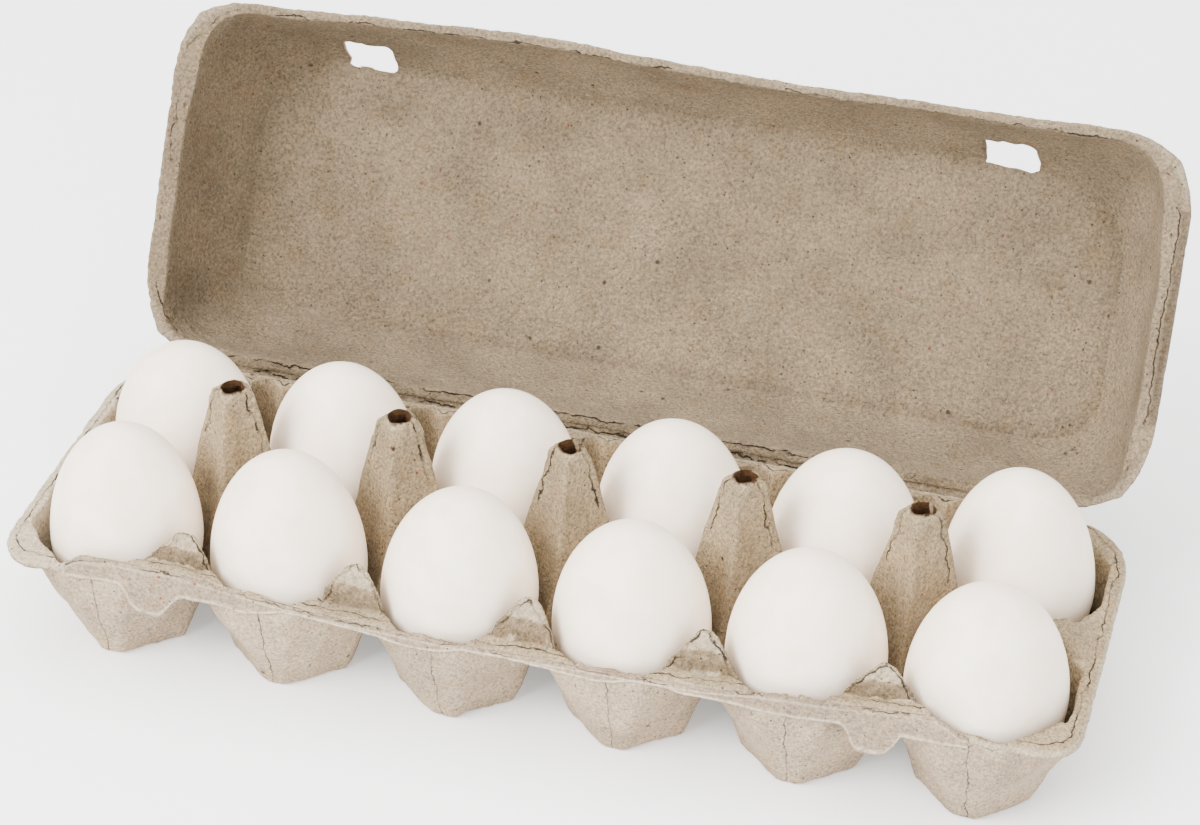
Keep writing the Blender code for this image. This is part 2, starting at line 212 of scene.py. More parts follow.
def cup_surface(x, y):
    """Height of the cup walls over each point, as if nothing capped them."""
    x, y = x + WANDER * wander(x, y, WANDER_SIZE), y + WANDER * wander(y, x, WANDER_SIZE)
    column = np.clip(np.floor(x / CELL + TRAY_X_CELLS / 2), 0, TRAY_X_CELLS - 1)
    u = x - (column - TRAY_X_CELLS / 2 + 0.5) * CELL
    v = y - np.copysign(ROW_OFF, y)
    along = np.abs(u) > np.abs(v)
    end = ((column == 0) & (u < 0)) | ((column == TRAY_X_CELLS - 1) & (u > 0))
    outside = np.where(along, end, v * y > 0)
    near = np.minimum(np.abs(u), np.abs(v))
    far = np.maximum(np.maximum(np.abs(u), np.abs(v)), 1e-9)
    angle = np.arctan2(near, far)[:, None]
    side = np.where(along[:, None], CUP_TO_NEIGHBOUR, CUP_TO_OTHER_ROW)
    side = np.where(outside[:, None], CUP_TO_OUTSIDE, side)
    flat = np.where(outside[:, None], CUP_FLAT_TO_OUTSIDE, CUP_FLAT_TO_NEIGHBOUR)
    bulge = np.where(outside[:, None], 0.0, CUP_BULGE)
    corner = np.where((v * y > 0)[:, None], CUP_TO_RIM_CORNER, CUP_TO_CORNER) * math.sqrt(0.5)
    slanted = (side - flat) * corner
    slanted = slanted / (np.cos(angle) * (corner - flat) + np.sin(angle) * (side - corner))
    reach = soft_min(slanted, side / np.cos(angle), CUP_EDGE_SOFT)
    reach = reach * (1.0 + bulge * np.sin(4 * angle) ** 2)
    return smooth_steps(np.hypot(u, v), reach, CUP_Z)


def from_outline(x, y, far_x, far_y, reach_x, reach_y):
    """How far a point stands inside an outline with rounded corners."""
    a = (np.abs(x) - (far_x - reach_x)) / reach_x
    b = (np.abs(y) - (far_y - reach_y)) / reach_y
    part_a, part_b = np.maximum(a, 1e-6), np.maximum(b, 1e-6)
    radius = (part_a**2 * reach_x + part_b**2 * reach_y) / (part_a**2 + part_b**2)
    in_corner = (1.0 - np.hypot(part_a, part_b)) * radius
    straight = np.minimum(far_x - np.abs(x), far_y - np.abs(y))
    return np.where((a > 0) & (b > 0), in_corner, straight)


def from_edge(x, y):
    """How far a point of the tray stands inside its rim's outline."""
    front = y < 0
    return from_outline(
        x, y, TRAY_RIM_X, np.where(front, TRAY_RIM_FRONT, TRAY_RIM_BACK),
        np.where(front, TRAY_CORNER_FRONT, TRAY_CORNER_BACK_X),
        np.where(front, TRAY_CORNER_FRONT, TRAY_CORNER_BACK_Y),
    )


def tray_cap(x, y):
    """Height of the posts, saddles and rim that the cups are sunk into."""
    at_side = np.abs(y) > ROW_OFF
    at_end = np.abs(x) > CELL * (TRAY_X_CELLS - 1) / 2
    front_edge = np.interp(x, FRONT_EDGE[:, 0], FRONT_EDGE[:, 1]) - TRAY_RIM_Z
    near_front = np.clip((-y - RIM_RISE_FROM) / RIM_RISE_RUN, 0.0, 1.0)
    rim = TRAY_RIM_Z + front_edge * near_front**2 * (3 - 2 * near_front)
    past = np.clip(1.0 - from_edge(x, y) / EDGE_ROLL_WIDTH, 0.0, 1.0)
    rim = rim - EDGE_ROLL * past**2
    foot = SADDLE_FOOT + SADDLE_WANDER * wander(x, y, SADDLE_FOOT_SIZE)
    saddle = np.clip(np.round(x / CELL), -2, 2).astype(int)
    off = x - saddle * CELL - SADDLE_OFF[saddle + 2]
    past_left = off + SADDLE_LEFT + SADDLE_WANDER * wander(y, x, SADDLE_LEFT_SIZE)
    left_side = np.maximum(past_left, 0.0) * SADDLE_LEFT_STEEP
    front = rim + soft_min(np.interp(foot - np.abs(y), SADDLE_IN, SADDLE_RISE), left_side, SADDLE_SOFT)
    back = TRAY_RIM_Z + np.maximum(SADDLE_BACK_FOOT - np.abs(y), 0.0) * SADDLE_BACK_STEEP
    side = np.where(y < 0, front, soft_min(back, SADDLE_BACK_TOP, SADDLE_BACK_SOFT))
    end = rim + np.maximum(END_SADDLE_FOOT - np.abs(x), 0.0) * END_SADDLE_STEEP
    end = soft_min(end, END_SADDLE_TOP, END_SADDLE_SOFT)
    off = np.hypot(x - np.round(x / CELL) * CELL, y)
    post = POST_TOP + POST_LIP * np.exp(-((off - POST_HOLE) / POST_LIP_WIDTH) ** 2) - POST_DOME * off**2
    return np.where(at_side & at_end, rim, np.where(at_side, side, np.where(at_end, end, post)))


def tray_surface(x, y):
    """Upper skin of the tray over its rim plane."""
    return soft_min(cup_surface(x, y), tray_cap(x, y), CREASE_SOFT)


def tray_needs(x, y):
    """Longest edge that the sheet may have round each point: short near a crease."""
    over = cup_surface(x, y) - tray_cap(x, y)
    longest = np.where(np.abs(over) < CREASE_BAND, TRAY_CREASE_EDGE, TRAY_LONG_EDGE)
    on_saddle = (over > 0) & (tray_cap(x, y) > SADDLE_FINE_RISE)
    on_saddle &= (-y > SADDLE_FINE_FROM) & (-y < SADDLE_FINE_TO)
    longest = np.where(from_edge(x, y) < RIM_BAND, np.minimum(longest, RIM_LONG_EDGE), longest)
    return np.where(on_saddle, SADDLE_EDGE, longest)


def crease_distance(x, y):
    """How far a point lies outside the cups' edge, along the sheet: minus inside a cup."""
    near = 0.2 * MM
    least_slope = 0.4
    over = cup_surface(x, y) - tray_cap(x, y)
    slope_x = (cup_surface(x + near, y) - tray_cap(x + near, y) - over) / near
    slope_y = (cup_surface(x, y + near) - tray_cap(x, y + near) - over) / near
    return over / np.maximum(np.hypot(slope_x, slope_y), least_slope)


def under_skin(surface, x, y, thick):
    """The sheet's other side: the lowest that a ball rolled along the first side reaches."""
    lowest = surface(x, y) - thick
    turns = 16
    for share in (0.5, 0.85, 1.0):
        rise = thick * math.sqrt(1.0 - share * share)
        for turn in range(turns):
            angle = 2 * math.pi * turn / turns
            a, b = thick * share * math.cos(angle), thick * share * math.sin(angle)
            lowest = np.minimum(lowest, surface(x + a, y + b) - rise)
    return lowest


def coordinates(bm):
    """Places of all vertices, a row for each."""
    return np.array([v.co for v in bm.verts]).reshape(-1, 3)


def place_vertices(bm, points):
    """Move every vertex to its row's place."""
    for vert, point in zip(bm.verts, points):
        vert.co = point


def roughen(mesh, waves, torn=None, torn_wave=None):
    """Push a mesh in and out along its normals by uneven waves, the same at every run,
    and by one more wave where it is torn (a share for each vertex)."""
    mesh.update()
    points = np.empty(len(mesh.vertices) * 3)
    mesh.vertices.foreach_get("co", points)
    points = points.reshape(-1, 3)
    normals = np.array([n.vector for n in mesh.vertex_normals])
    push = np.zeros(len(points))
    for size, height in waves:
        push += height * np.array([noise.noise(Vector(p) / size) for p in points])
    if torn is not None:
        size, height = torn_wave
        at = np.flatnonzero(torn > 0.0)
        push[at] += height * torn[at] * np.array([noise.noise(Vector(points[k]) / size) for k in at])
    moved = points + normals * push[:, None]
    low, high = np.array(cad_box[0]), np.array(cad_box[1])
    mesh.vertices.foreach_set("co", np.clip(moved, low, high).ravel())
    mesh.update()


def round_corner(x, y, far_x, far_y, reach_x, reach_y, square=0.0):
    """Bend a square corner of the grid on to a quarter ellipse, or a squarer curve."""
    a = np.clip((np.abs(x) - (far_x - reach_x)) / reach_x, 0.0, 1.0)
    b = np.clip((np.abs(y) - (far_y - reach_y)) / reach_y, 0.0, 1.0)
    new_a = a * np.sqrt(1 - (1 - square) * b * b / 2)
    new_b = b * np.sqrt(1 - (1 - square) * a * a / 2)
    corner = (a > 0) & (b > 0)
    new_x = np.where(corner, np.copysign(far_x - reach_x + new_a * reach_x, x), x)
    new_y = np.where(corner, np.copysign(far_y - reach_y + new_b * reach_y, y), y)
    return new_x, new_y


def fine_lines(stops, step):
    """Grid lines through every stop, about a step apart."""
    lines = []
    for low, high in zip(stops, stops[1:]):
        count = max(1, round((high - low) / step))
        lines.extend(np.linspace(low, high, count, endpoint=False))
    return np.array(lines + [stops[-1]])


def raised_grid(lines_x, lines_y, bend, surface, needs):
    """A grid bent in plan and raised to a surface, cut finer where it is steep or folded."""
    bm = bmesh.new()
    bmesh.ops.create_grid(bm, x_segments=len(lines_x) - 1, y_segments=len(lines_y) - 1, size=1.0)
    flat = coordinates(bm)
    x = np.interp(flat[:, 0], np.linspace(-1, 1, len(lines_x)), lines_x)
    y = np.interp(flat[:, 1], np.linspace(-1, 1, len(lines_y)), lines_y)
    x, y = bend(x, y)
    place_vertices(bm, np.stack([x, y, surface(x, y)], 1))
    for _ in range(3):
        edges = list(bm.edges)
        middles = np.array([(e.verts[0].co + e.verts[1].co) / 2 for e in edges])
        longest = needs(middles[:, 0], middles[:, 1])
        long_edges = [e for e, most in zip(edges, longest) if e.calc_length() > most]
        bmesh.ops.subdivide_edges(bm, edges=long_edges, cuts=1, use_grid_fill=True)
        spots = coordinates(bm)
        place_vertices(bm, np.stack([spots[:, 0], spots[:, 1], surface(spots[:, 0], spots[:, 1])], 1))
    return bm


def tear_hole(bm, inside, snap):
    """Take out the faces inside an outline, and pull the cut edge on to it."""
    gone = [f for f in bm.faces if inside(f.calc_center_median())]
    bmesh.ops.delete(bm, geom=gone, context="FACES")
    bm.verts.ensure_lookup_table()
    for vert in bm.verts:
        if vert.is_boundary:
            vert.co = snap(vert.co)


def thicken(bm, other_skin):
    """Close the sheet with a second skin; returns how many vertices the first one has.
    The sheet is written out and read back first, so that the new vertices come last."""
    packed = bpy.data.meshes.new("packed")
    bm.to_mesh(packed)
    bm.clear()
    bm.from_mesh(packed)
    bpy.data.meshes.remove(packed)
    first = len(bm.verts)
    grown = bmesh.ops.extrude_face_region(bm, geom=list(bm.faces), use_keep_orig=True)
    fresh = [v for v in grown["geom"] if isinstance(v, bmesh.types.BMVert)]
    spots = np.array([v.co for v in fresh]).reshape(-1, 3)
    heights = other_skin(spots[:, 0], spots[:, 1])
    for vert, height in zip(fresh, heights):
        vert.co.z = height
    bmesh.ops.recalc_face_normals(bm, faces=list(bm.faces))
    return first


def add_piece(name, bm, material):
    """One smooth object at the origin, with its place in its mesh."""
    mesh = bpy.data.meshes.new(name)
    bm.to_mesh(mesh)
    bm.free()
    for face in mesh.polygons:
        face.use_smooth = True
    mesh.materials.append(material)
    made = bpy.data.objects.new(name, mesh)
    bpy.context.scene.collection.objects.link(made)
    return made


def keep_values(mesh, name, values):
    """Store one number for each vertex, which the material reads by name."""
    layer = mesh.attributes.new(name, "FLOAT", "POINT")
    layer.data.foreach_set("value", np.asarray(values, np.float32))


def moulded_pulp(name, inside_hex, outside_hex):
    """Moulded pulp: matt felted recycled fibre, blotched in tone, with dark and a few
    red bits of print and bark and short curled fibres in it. Painted shade darkens it
    in hollows, painted highlights lighten lit edges and faces, it frays pale at its
    edges and cracks dark where the sheet was bent. The outside is smoother, pressed
    against the mould's fine wire."""
    made = bpy.data.materials.new(name)
    made.use_nodes = True
    tree = made.node_tree
    shader = tree.nodes["Principled BSDF"]
    place = add_node(tree, "ShaderNodeTexCoord")
    outside = add_node(tree, "ShaderNodeAttribute", attribute_name="outside")
    worn_and_highlight = add_node(tree, "ShaderNodeAttribute", attribute_name="worn_and_highlight")
    painted_shade = add_node(tree, "ShaderNodeAttribute", attribute_name="painted_shade")
    sheet = add_node(
        tree, "ShaderNodeMix", [("Factor", outside, "Fac")],
        data_type="RGBA", i6=linear(inside_hex), i7=linear(outside_hex),
    )

    # blotches about 24 mm across, clouds of 7 mm and felt of about 0.9 mm
    blotches = add_node(
        tree, "ShaderNodeTexNoise", [("Vector", place, "Object")],
        Scale=1 / (24.0 * MM), Detail=4.0, Roughness=0.6,
    )
    blotch = add_node(
        tree, "ShaderNodeMapRange", [("Value", blotches, "Fac")], i1=0.35, i2=0.65, i3=0.82, i4=1.14
    )
    clouds = add_node(
        tree, "ShaderNodeTexNoise", [("Vector", place, "Object")],
        Scale=1 / (7.0 * MM), Detail=3.0, Roughness=0.6,
    )
    warm = add_node(tree, "ShaderNodeMapRange", [("Value", clouds, "Fac")], i1=0.5, i2=0.72, i3=0.0, i4=0.5)
    felts = add_node(
        tree, "ShaderNodeTexNoise", [("Vector", place, "Object")],
        Scale=1 / (0.9 * MM), Detail=3.0, Roughness=0.8,
    )
    felt = add_node(tree, "ShaderNodeMapRange", [("Value", felts, "Fac")], i1=0.32, i2=0.68, i3=0.50, i4=1.46)
    tone = add_node(
        tree, "ShaderNodeMath", [(0, blotch, "Result"), (1, felt, "Result")], operation="MULTIPLY"
    )
    toned = add_node(
        tree, "ShaderNodeVectorMath", [(0, sheet, 2), ("Scale", tone, "Value")], operation="SCALE"
    )
    coloured = add_node(
        tree, "ShaderNodeMix", [("Factor", warm, "Result"), (6, toned, 0)],
        data_type="RGBA", blend_type="MULTIPLY", i7=(1.0, 0.88, 0.74, 1.0),
    )
    # painted shade: a dark brown multiplied in where the mesh asks for it
    coloured = add_node(
        tree, "ShaderNodeMix", [("Factor", painted_shade, "Fac"), (6, coloured, 2)],
        data_type="RGBA", blend_type="MULTIPLY", i7=linear(PULP_PAINTED_SHADE_HEX),
    )
    # pale frayed edges, and painted highlights on lit edges and faces
    fray_and_highlight = add_node(
        tree, "ShaderNodeMath", [(0, worn_and_highlight, "Fac"), (1, felt, "Result")], operation="MULTIPLY", use_clamp=True
    )
    coloured = add_node(
        tree, "ShaderNodeMix", [("Factor", fray_and_highlight, "Value"), (6, coloured, 2)],
        data_type="RGBA", i7=linear(PULP_WORN_AND_HIGHLIGHT_HEX),
    )

    # short curled fibres: pieces of a thin contour line of a noise
    curls = add_node(
        tree, "ShaderNodeTexNoise", [("Vector", place, "Object")],
        Scale=1 / (2.2 * MM), Detail=2.0, Roughness=0.5,
    )
    off_line = add_node(tree, "ShaderNodeMath", [(0, curls, "Fac")], operation="SUBTRACT", i1=0.5)
    off_line = add_node(tree, "ShaderNodeMath", [(0, off_line, "Value")], operation="ABSOLUTE")
    thin = add_node(
        tree, "ShaderNodeMapRange", [("Value", off_line, "Value")], i1=0.0, i2=0.016, i3=0.5, i4=0.0
    )
    breaks = add_node(
        tree, "ShaderNodeTexNoise", [("Vector", place, "Object")], Scale=1 / (2.1 * MM), Detail=1.0
    )
    broken = add_node(tree, "ShaderNodeMapRange", [("Value", breaks, "Fac")], i1=0.58, i2=0.66)
    fibre = add_node(
        tree, "ShaderNodeMath", [(0, thin, "Result"), (1, broken, "Result")], operation="MULTIPLY"
    )
    coloured = add_node(
        tree, "ShaderNodeMix", [("Factor", fibre, "Value"), (6, coloured, 2)],
        data_type="RGBA", i7=linear(PULP_DARK_HEX),
    )

    # bits up to a millimetre across: cell size, share left out, reach, colour
    for cell, left_out, reach, bit_hex in (
        (2.7 * MM, 0.45, 0.34 * MM, PULP_DARK_HEX), (5.3 * MM, 0.90, 0.50 * MM, PULP_RED_HEX),
        (1.45 * MM, 0.60, 0.20 * MM, PULP_DARK_HEX), (9.0 * MM, 0.50, 0.75 * MM, PULP_DARK_HEX),
    ):
        bits = add_node(
            tree, "ShaderNodeTexVoronoi", [("Vector", place, "Object")], Scale=1 / cell
        )
        bit = add_node(
            tree, "ShaderNodeMapRange", [("Value", bits, "Distance")],
            i1=0.6 * reach / cell, i2=1.2 * reach / cell, i3=0.85, i4=0.0,
        )
        chance = add_node(tree, "ShaderNodeSeparateColor", [("Color", bits, "Color")])
        picked = add_node(tree, "ShaderNodeMath", [(0, chance, "Red")], operation="GREATER_THAN", i1=left_out)
        bit = add_node(
            tree, "ShaderNodeMath", [(0, bit, "Result"), (1, picked, "Value")], operation="MULTIPLY"
        )
        coloured = add_node(
            tree, "ShaderNodeMix", [("Factor", bit, "Value"), (6, coloured, 2)],
            data_type="RGBA", i7=linear(bit_hex),
        )

    # cracks wander about the lines kept on the mesh; an amount over 1 keeps them whole
    crack_at = add_node(tree, "ShaderNodeAttribute", attribute_name="crack_at")
    amount = add_node(tree, "ShaderNodeAttribute", attribute_name="crack_amount")
    wanders = add_node(
        tree, "ShaderNodeTexNoise", [("Vector", place, "Object")],
        Scale=1 / (6.0 * MM), Detail=3.0, Roughness=0.6,
    )
    aside = add_node(tree, "ShaderNodeMapRange", [("Value", wanders, "Fac")], i1=0.3, i2=0.7, i3=-0.8, i4=0.8)
    away = add_node(tree, "ShaderNodeMath", [(0, crack_at, "Fac"), (1, aside, "Result")], operation="ADD")
    away = add_node(tree, "ShaderNodeMath", [(0, away, "Value")], operation="ABSOLUTE")
    crack = add_node(
        tree, "ShaderNodeMapRange", [("Value", away, "Value")], i1=0.05, i2=0.27, i3=0.92, i4=0.0
    )
    gaps = add_node(
        tree, "ShaderNodeTexNoise", [("Vector", place, "Object")],
        Scale=1 / (11.0 * MM), Detail=3.0, Roughness=0.6,
    )
    whole = add_node(tree, "ShaderNodeMapRange", [("Value", gaps, "Fac")], i1=0.47, i2=0.56)
    whole = add_node(tree, "ShaderNodeMath", [(0, whole, "Result"), (1, amount, "Fac")], operation="ADD")
    whole = add_node(
        tree, "ShaderNodeMath", [(0, whole, "Value")], operation="SUBTRACT", use_clamp=True, i1=1.0
    )
    crack = add_node(
        tree, "ShaderNodeMath", [(0, crack, "Result"), (1, whole, "Value")], operation="MULTIPLY"
    )
    coloured = add_node(
        tree, "ShaderNodeMix", [("Factor", crack, "Value"), (6, coloured, 2)],
        data_type="RGBA", i7=linear(PULP_CRACK_HEX),
    )
    tree.links.new(coloured.outputs[2], shader.inputs["Base Color"])
    shader.inputs["Roughness"].default_value = 0.95
    shader.inputs["Specular IOR Level"].default_value = 0.2

    # relief: lumps of fibre 2.4 mm across, the cracks, and the wire's crossing ribs,
    # drawn 0.9 mm apart, about twice as coarse as they are, so that they show
    lumps = add_node(
        tree, "ShaderNodeTexNoise", [("Vector", place, "Object")],
        Scale=1 / (2.4 * MM), Detail=5.0, Roughness=0.72,
    )
    relief = add_node(
        tree, "ShaderNodeMath", [(0, felts, "Fac"), (2, lumps, "Fac")], operation="MULTIPLY_ADD", i1=0.55
    )
    relief = add_node(
        tree, "ShaderNodeMath", [(0, relief, "Value"), (1, crack, "Value")], operation="SUBTRACT"
    )
    for direction in ("X", "Z"):
        wire = add_node(
            tree, "ShaderNodeTexWave", [("Vector", place, "Object")],
            bands_direction=direction, Scale=math.pi / 10 / (0.9 * MM), Distortion=0.5,
        )
        wire = add_node(
            tree, "ShaderNodeMath", [(0, wire, "Fac"), (1, outside, "Fac")], operation="MULTIPLY"
        )
        relief = add_node(
            tree, "ShaderNodeMath", [(0, wire, "Value"), (2, relief, "Value")],
            operation="MULTIPLY_ADD", i1=0.07,
        )
    softer = add_node(tree, "ShaderNodeMapRange", [("Value", outside, "Fac")], i3=1.0, i4=0.5)
    bump = add_node(
        tree, "ShaderNodeBump", [("Height", relief, "Value"), ("Strength", softer, "Result")],
        Distance=1.9 * MM,
    )
    tree.links.new(bump.outputs["Normal"], shader.inputs["Normal"])
    return made


stops_x = sorted({round(float(s + (k - 2.5) * CELL), 6) for k in range(TRAY_X_CELLS) for s in CUP_LINES})
stops_x = [-TRAY_RIM_X] + stops_x + [TRAY_RIM_X]
stops_y = sorted({round(float(s + side * ROW_OFF), 6) for side in (-1, 1) for s in CUP_LINES})
stops_y = [-TRAY_RIM_FRONT] + [s for s in stops_y if abs(s) < CUP_LINES_END] + [TRAY_RIM_BACK]
tray_bm = raised_grid(
    fine_lines(stops_x, TRAY_STEP), fine_lines(stops_y, TRAY_STEP),
    lambda x, y: tuple(
        np.where(y < 0, front, back)
        for front, back in zip(
            round_corner(x, y, TRAY_RIM_X, TRAY_RIM_FRONT, TRAY_CORNER_FRONT, TRAY_CORNER_FRONT),
            round_corner(x, y, TRAY_RIM_X, TRAY_RIM_BACK, TRAY_CORNER_BACK_X, TRAY_CORNER_BACK_Y),
        )
    ),
    tray_surface, tray_needs,
)


def post_off(spot):
    """Offset from the nearest post's middle, or None away from the posts."""
    middle = round(spot.x / CELL) * CELL
    off = Vector((spot.x - middle, spot.y))
    return off if off.length < POST_TOP_REACH and abs(middle) < 2.5 * CELL else None


def ragged_hole(off, x):
    """Reach of the torn hole in a post's top, which is a little different in each post."""
    turn = math.atan2(off.y, off.x)
    round_hole = (math.cos(turn) * POST_HOLE_WAVES, math.sin(turn) * POST_HOLE_WAVES)
    wave = noise.noise(Vector((*round_hole, x * POST_HOLE_CHANGE)))
    return POST_HOLE * (1.0 + POST_HOLE_RAGGED * wave)


def snap_to_hole(spot):
    """Move a vertex at a post's hole on to its torn outline."""
    off = post_off(spot)
    if off is None:
        return spot
    reach = ragged_hole(off, spot.x)
    moved = off.normalized() * reach
    middle = round(spot.x / CELL) * CELL
    z = float(tray_surface(np.array([middle + moved.x]), np.array([moved.y]))[0])
    return Vector((middle + moved.x, moved.y, z))


tear_hole(
    tray_bm,
    lambda spot: (post_off(spot) is not None) and post_off(spot).length < ragged_hole(post_off(spot), spot.x),
    snap_to_hole,
)
upper_count = thicken(tray_bm, lambda x, y: under_skin(tray_surface, x, y, PULP_THICK))
spots = coordinates(tray_bm)
bmesh.ops.translate(tray_bm, verts=list(tray_bm.verts), vec=(0.0, TRAY_MIDDLE_Y, FOOT_DROP))
tray_pulp = moulded_pulp("moulded_pulp_tray", PULP_HEX, PULP_OUTSIDE_HEX)
tray = add_piece("pulp_tray", tray_bm, tray_pulp)

# Where the tray's sheet cracked as it was bent: along the rim, beside the posts'
# ridges, at the saddles' edges, and down the middle of each foot's outer face.
# Painted shade darkens the hollows, and a painted highlight lightens the saddles' faces.
# Places and sizes of marks are in millimetres.
POST_REACH_X = 9.0
POST_REACH_Y = 8.0
POST_LOWEST = 3.0
POST_SHOULDER = 27.0
RIDGE_OFF = 1.3
RIDGE_FROM = 3.6
POST_HOLE_SHADE = 1.15 * POST_HOLE / MM
SADDLE_FROM = 30.0
SADDLE_FACE_FROM = 36.0
SADDLE_TORN = 1.7
SADDLE_HIGHLIGHT = 0.3
SADDLE_HALF = 14.0
SADDLE_CRACKS_TO = SADDLE_FOOT / MM + 1.0
SADDLE_CRACK_IN = 0.9
RIM_CRACK_IN = 2.7
RIM_TORN = 0.45
RIM_TORN_TO = 5.0
UNDER_RIM_TORN_TO = 2.0
POST_TORN = 0.4
FOOT_LINE_REACH = 6.0
FOOT_SHADE = 2.0
LEFT_END_X = -110.0
SHADE_FROM = -1.0
SHADE_RUN = 22.0
FOOT_CRACK_WHOLE = 1.6
UPPER_CRACK_WHOLE = 1.3
x, y, z = spots.T / MM
cell, row_off = CELL / MM, ROW_OFF / MM
on_upper = np.arange(len(x)) < upper_count
nearest = np.round(x / cell)
to_post = x - nearest * cell
in_post = (np.abs(y) < POST_REACH_Y) & (np.abs(to_post) < POST_REACH_X) & (np.abs(nearest) < 3)
by_post = in_post & (z > POST_LOWEST)
off_post = np.hypot(to_post, y)
on_ridge = by_post & (np.abs(to_post) > 0.8 * np.abs(y)) & (off_post > RIDGE_FROM)
to_crease = crease_distance(spots[:, 0], spots[:, 1]) / MM
on_saddle = (np.abs(y) > SADDLE_FROM) & (np.abs(nearest) < 3) & (np.abs(to_post) < SADDLE_HALF) & ~by_post
on_saddle &= (np.abs(y) < SADDLE_CRACKS_TO) | (y > 0)
to_edge = from_edge(spots[:, 0], spots[:, 1]) / MM
column = np.clip(np.floor(x / cell + TRAY_X_CELLS / 2), 0, TRAY_X_CELLS - 1)
to_foot_line = x - (column - TRAY_X_CELLS / 2 + 0.5) * cell
on_foot_line = ~on_upper & (np.abs(y) > row_off + 2.0) & (np.abs(to_foot_line) < FOOT_LINE_REACH)
crack_at = np.where(on_saddle, to_crease - SADDLE_CRACK_IN, to_edge - RIM_CRACK_IN)
crack_at = np.where(on_ridge, np.abs(y) - RIDGE_OFF, crack_at)
crack_at = np.where(on_upper, crack_at, 1.2 * to_foot_line)
fading = np.clip(UPPER_CRACK_WHOLE - (to_edge - 4.5) / 2.0, 0.0, UPPER_CRACK_WHOLE)
crack_amount = np.where(on_saddle | on_ridge, UPPER_CRACK_WHOLE, fading)
crack_amount = np.where(by_post & ~on_ridge, 0.0, crack_amount)
crack_amount = np.where(on_upper, crack_amount, on_foot_line * FOOT_CRACK_WHOLE)
# Painted shade: darker deep in the cups, on the steep foot of each front saddle, in the posts' hollows
# underneath and in the holes at their tops.
throat = in_post & ~on_upper & (z > POST_LOWEST)
foot = SADDLE_FOOT + SADDLE_WANDER * wander(spots[:, 0], spots[:, 1], SADDLE_FOOT_SIZE)
past_foot = foot / MM - np.abs(y)
on_foot = on_saddle & (y < 0) & (to_crease > 0.0) & (past_foot > -0.3) & (past_foot < FOOT_SHADE)
painted_shade = np.where(on_foot, 0.55 - 0.15 * past_foot, np.clip((SHADE_FROM - z) / SHADE_RUN, 0.0, 0.85))
painted_shade = np.where(on_upper, painted_shade, np.where(throat, 1.0, 0.0))
painted_shade = np.where(in_post & (z > POST_SHOULDER) & (off_post < POST_HOLE_SHADE), 1.0, painted_shade)
# The rim's outer edge frays pale; a painted highlight lightens the saddles' upper faces, and the rim is paler
# towards the tray's left end.
tray_worn_and_highlight = np.where(on_upper, 0.5 * np.clip(1.0 - to_edge / 0.8, 0.0, 1.0), 0.0)
on_saddle_face = on_saddle & (-y > SADDLE_FACE_FROM) & (to_crease > 0.5)
tray_worn_and_highlight = np.where(on_saddle_face & ~on_foot, SADDLE_HIGHLIGHT, tray_worn_and_highlight)
at_left_end = on_upper & (to_edge < 8.0) & (z < 4.0)
tray_worn_and_highlight = np.maximum(tray_worn_and_highlight, at_left_end * 0.45 * np.clip((LEFT_END_X - x) / 25.0, 0.0, 1.0))
torn = np.where(on_saddle_face, SADDLE_TORN, np.where(to_edge < RIM_TORN_TO, RIM_TORN, 0.0))
torn = np.where(in_post & (z > POST_SHOULDER), POST_TORN, torn)
torn = np.where(on_upper, torn, np.where(to_edge < UNDER_RIM_TORN_TO, RIM_TORN, 0.0))
roughen(tray.data, TRAY_WAVES, torn, TORN_WAVE)
for name, values in (
    ("crack_at", crack_at), ("crack_amount", crack_amount), ("outside", ~on_upper),
    ("painted_shade", painted_shade), ("worn_and_highlight", tray_worn_and_highlight),
):
    keep_values(tray.data, name, values)
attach(tray, "tray")
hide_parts("tray")

# The lid: a shallow pulp cover, standing open on its hinge at the back. The
# side in view is the rough one; two latch slots are cut near its far edge.
HINGE_Y = 53.5 * MM
HINGE_Z = 2.5 * MM
LID_OPEN = math.radians(119.7)
LID_X = 149.5 * MM
LID_BACK = 1.0 * MM
LID_FRONT = 106.4 * MM
LID_CORNER_BACK = 27.0 * MM
LID_CORNER_FRONT = 23.5 * MM
LID_DEPTH = 34.3 * MM
MOUTH_X = 143.8 * MM
MOUTH_BACK = 4.0 * MM
MOUTH_FRONT = 104.1 * MM
PANEL_X = 131.0 * MM
PANEL_BACK = 16.5 * MM
PANEL_FRONT = 94.0 * MM
PANEL_CORNER_FRONT = 27.0 * MM
PANEL_CORNER_BACK = 16.0 * MM
MOUTH_EXTRA_FRONT = 8.0 * MM
MOUTH_EXTRA_BACK = 6.0 * MM
LID_SQUARE = 0.2
WALL_STEP = np.array([0.0, 0.12, 0.30, 0.50, 0.75, 1.0])
WALL_RISE = np.array([0.0, 0.28, 0.53, 0.70, 0.86, 1.0])
PANEL_DARK_BAND = 5.0
LID_BELLY = 2.6 * MM
LID_BELLY_X = -45.0 * MM
LID_BELLY_HALF = 80.0 * MM
LID_RIPPLE = 0.45 * MM
LID_RIPPLE_SIZE = 9.0 * MM
LID_SLANT = 0.007
LID_BEAD = 0.2 * MM
LID_BEAD_WIDTH = 6.0 * MM
LID_CURL = 2.4 * MM
LID_CURL_WIDTH = 3.0 * MM
LID_CURL_FAR = 58.0 * MM
LID_CURL_HALF = 30.0 * MM
SLOT_LEFT_X = -99.6 * MM
SLOT_RIGHT_X = 94.4 * MM
SLOT_HALF_WIDE = 7.6 * MM
SLOT_FAR = 95.8 * MM
SLOT_HALF_DEEP = 3.5 * MM
SLOT_RAGGED = 0.9 * MM
SLOT_RAGGED_X = 5.0 * MM
